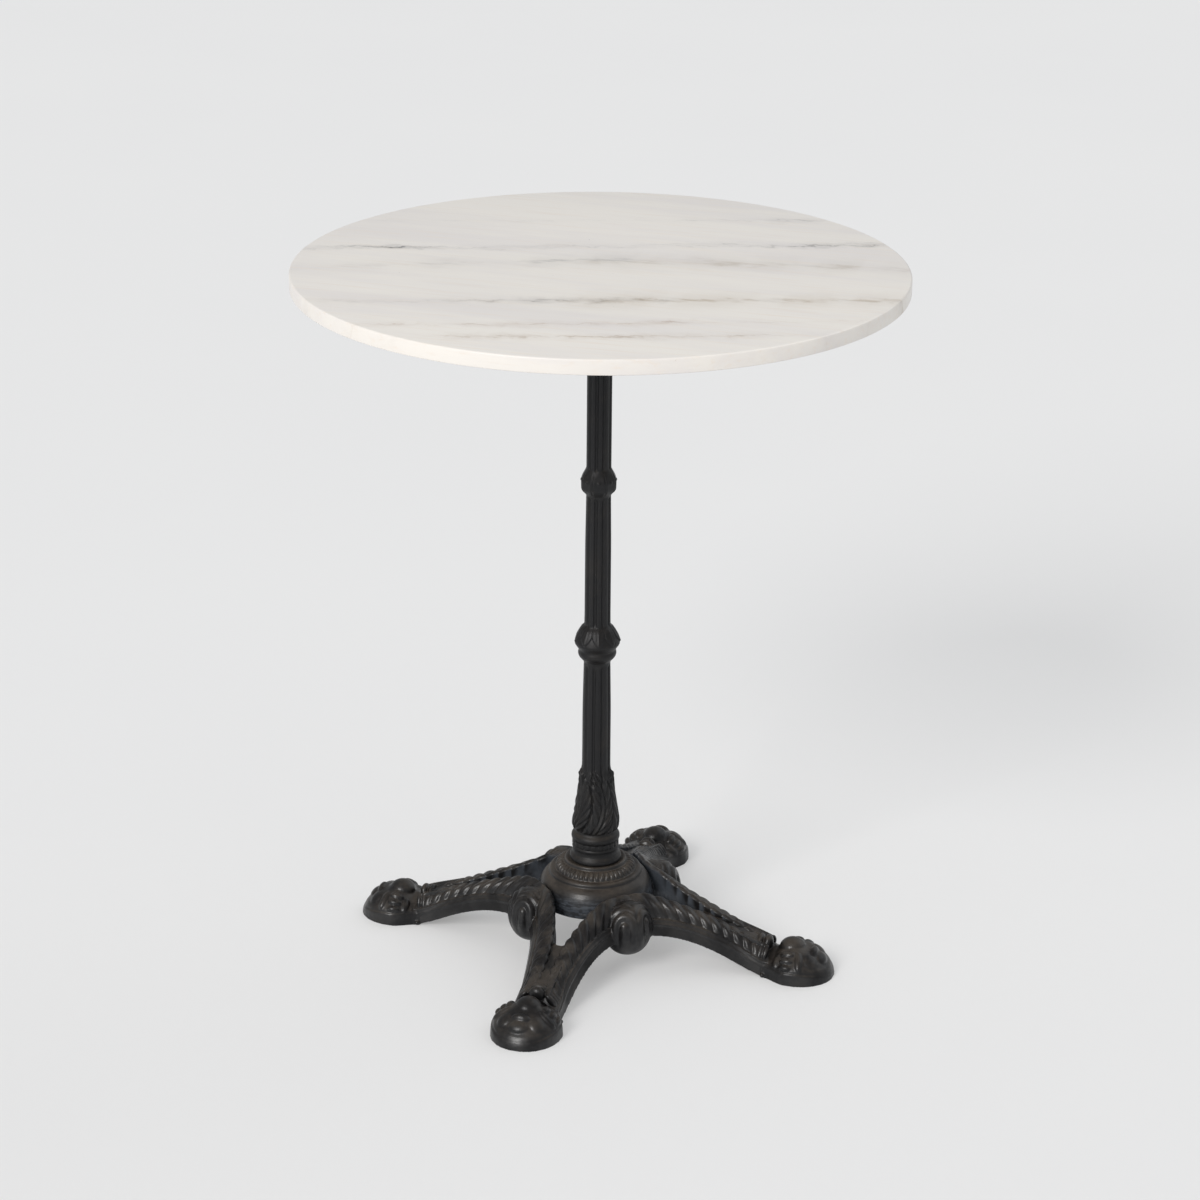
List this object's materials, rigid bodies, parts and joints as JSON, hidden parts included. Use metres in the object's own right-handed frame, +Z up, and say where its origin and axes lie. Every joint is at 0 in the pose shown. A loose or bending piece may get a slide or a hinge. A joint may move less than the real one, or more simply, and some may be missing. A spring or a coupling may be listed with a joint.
{
  "type": "bistro table",
  "caption": "Round bistro table with a veined marble top, a slim fluted cast-iron column and a low cast-iron base on scrolled arms with paw feet.",
  "frame": {"origin": "on the floor, on the column's axis", "axes": "+Z up along the column; the four feet lie on +X, +Y, -X and -Y"},
  "size_m": [0.5999, 0.6, 0.72],
  "materials": {
    "marble": "honed white marble with grey and beige veins",
    "black_iron": "sand-cast, satin black paint, dusty on the upper faces",
    "zinc_steel": "zinc-plated hardware",
    "insert_brass": "turned",
    "pad_rubber": "matt black"
  },
  "bodies": {
    "root": {"marble_top": "marble", "top_inserts": "insert_brass", "spider_pads": "pad_rubber", "spider_screws": "zinc_steel", "spider_washers": "zinc_steel", "top_spider": "black_iron", "column": "black_iron", "tie_rod": "zinc_steel", "rod_top_washer": "zinc_steel", "rod_top_spring_washer": "zinc_steel", "rod_top_nut": "zinc_steel", "rod_bottom_plate": "zinc_steel", "rod_bottom_spring_washer": "zinc_steel", "rod_bottom_nut": "zinc_steel", "base_casting": "black_iron"}
  },
  "joints": []
}
